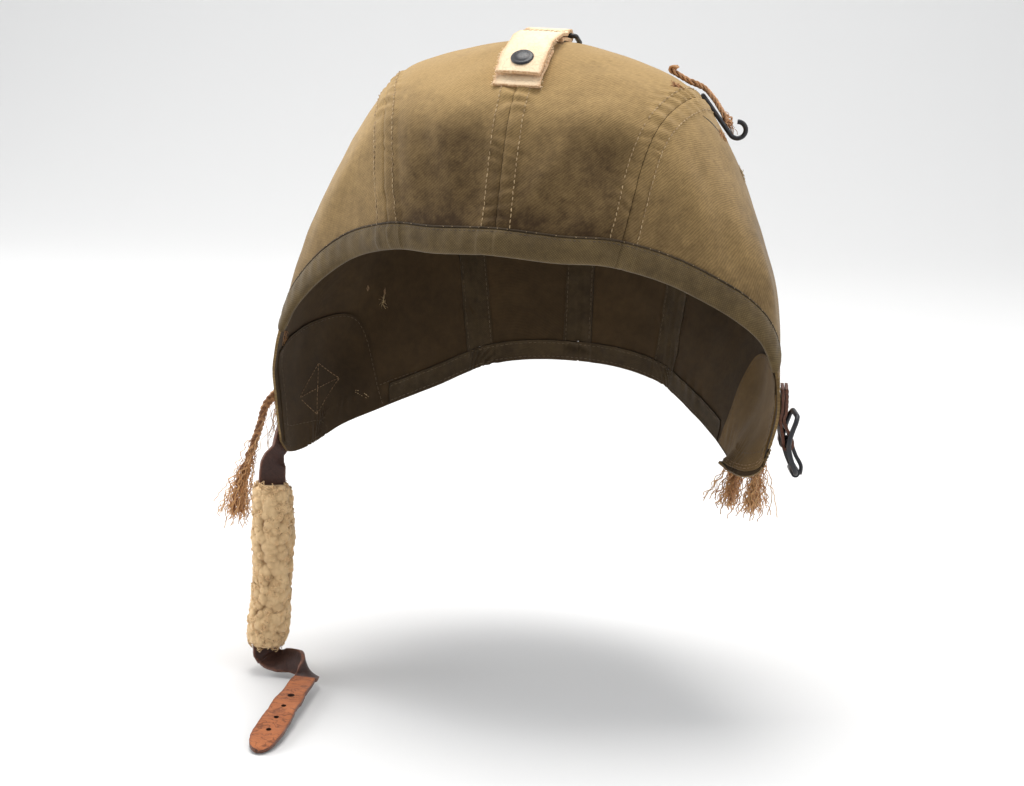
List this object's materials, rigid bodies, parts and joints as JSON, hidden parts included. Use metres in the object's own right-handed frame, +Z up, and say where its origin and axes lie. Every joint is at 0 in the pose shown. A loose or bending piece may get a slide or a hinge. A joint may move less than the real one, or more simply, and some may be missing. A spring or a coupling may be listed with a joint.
{
  "type": "flying helmet",
  "caption": "Soft cotton flying helmet with flared ear flaps, snap-down leather crown strap, wire ring and hook, fleece-padded chin strap and wire buckle",
  "frame": {"origin": "on the inner face of the crown at its top, where a head or a display head carries the helmet", "axes": "+Z up, -Y is the way the face opening looks, +X the wearer's left; the longest extent is along Z, from the crown to the hanging chin strap"},
  "size_m": [0.3386, 0.2743, 0.3759],
  "materials": {
    "khaki_twill": "woven cotton twill",
    "seam_tape": "woven cotton tape",
    "olive_bias_tape": "cotton bias tape",
    "natural_leather": "natural, matt",
    "dark_leather": "grain side, worn",
    "tan_leather": "flesh side",
    "sheepskin": "curled fleece",
    "braided_cord": "flat cotton braid",
    "black_enamel": "black enamel, worn"
  },
  "bodies": {
    "helmet": {"right_side_panel": "khaki_twill", "right_crown_panel": "khaki_twill", "left_crown_panel": "khaki_twill", "left_side_panel": "khaki_twill", "right_flap_facing": "khaki_twill", "left_flap_facing": "khaki_twill", "right_seam_tape": "seam_tape", "centre_seam_tape": "seam_tape", "left_seam_tape": "seam_tape", "neck_hem_tape": "seam_tape", "face_binding": "olive_bias_tape", "crown_base_tab": "natural_leather", "crown_strap_heel": "natural_leather", "snap_stud": "black_enamel", "hook_braid": "braided_cord", "chin_strap_anchor": "dark_leather", "buckle_tab": "dark_leather", "right_braid": "braided_cord", "left_braid_front": "braided_cord", "left_braid_rear": "braided_cord"},
    "crown_strap": {"crown_strap": "natural_leather", "snap_cap": "black_enamel", "snap_socket": "black_enamel"},
    "crown_ring": {"crown_ring": "black_enamel"},
    "mask_hook": {"mask_hook": "black_enamel"},
    "chin_strap": {"chin_strap": "dark_leather"},
    "fleece": {"sheepskin_sleeve": "sheepskin"},
    "strap_tail": {"chin_strap_tail": "tan_leather"},
    "buckle": {"buckle_frame": "black_enamel"},
    "roller": {"buckle_roller": "black_enamel"},
    "prong": {"buckle_prong": "black_enamel"}
  },
  "joints": [
    {"name": "crown_strap_lift", "type": "hinge", "parent": "helmet", "child": "crown_strap", "pos_m": [0, -0.00646, 0.00718], "axis": [-1, 0, 0], "range_deg": [0, 105]},
    {"name": "crown_ring_turn", "type": "hinge", "parent": "helmet", "child": "crown_ring", "pos_m": [0, 0.00199, 0.00517], "axis": [1, 0, 0], "range_deg": [0, 85]},
    {"name": "mask_hook_swing", "type": "hinge", "parent": "helmet", "child": "mask_hook", "pos_m": [0.0869, 0.00835, -0.02386], "axis": [0.243, -0.9696, -0.0289], "range_deg": [0, 80]},
    {"name": "chin_strap_swing", "type": "hinge", "parent": "helmet", "child": "chin_strap", "pos_m": [-0.14179, -0.04668, -0.23835], "axis": [0, 1, 0], "range_deg": [-75, 30], "stiffness_Nm_per_rad": 0.06},
    {"name": "fleece_slide", "type": "slide", "parent": "chin_strap", "child": "fleece", "axis": [-0.0198, 0.1289, 0.9915], "range_m": [0, 0.005]},
    {"name": "strap_tail_bend", "type": "hinge", "parent": "chin_strap", "child": "strap_tail", "pos_m": [-0.10733, -0.08838, -0.35932], "axis": [1, 0, 0], "range_deg": [-80, 10]},
    {"name": "buckle_swing", "type": "hinge", "parent": "helmet", "child": "buckle", "pos_m": [0.15049, -0.02802, -0.20599], "axis": [0.3011, -0.9536, 0], "range_deg": [-30, 6]},
    {"name": "buckle_roller_spin", "type": "hinge", "parent": "buckle", "child": "roller", "pos_m": [0.15568, -0.02638, -0.22189], "axis": [0.3011, -0.9536, 0], "continuous": true},
    {"name": "buckle_prong_turn", "type": "hinge", "parent": "buckle", "child": "prong", "pos_m": [0.15049, -0.02802, -0.20599], "axis": [0.3011, -0.9536, 0], "range_deg": [0, 85]}
  ]
}
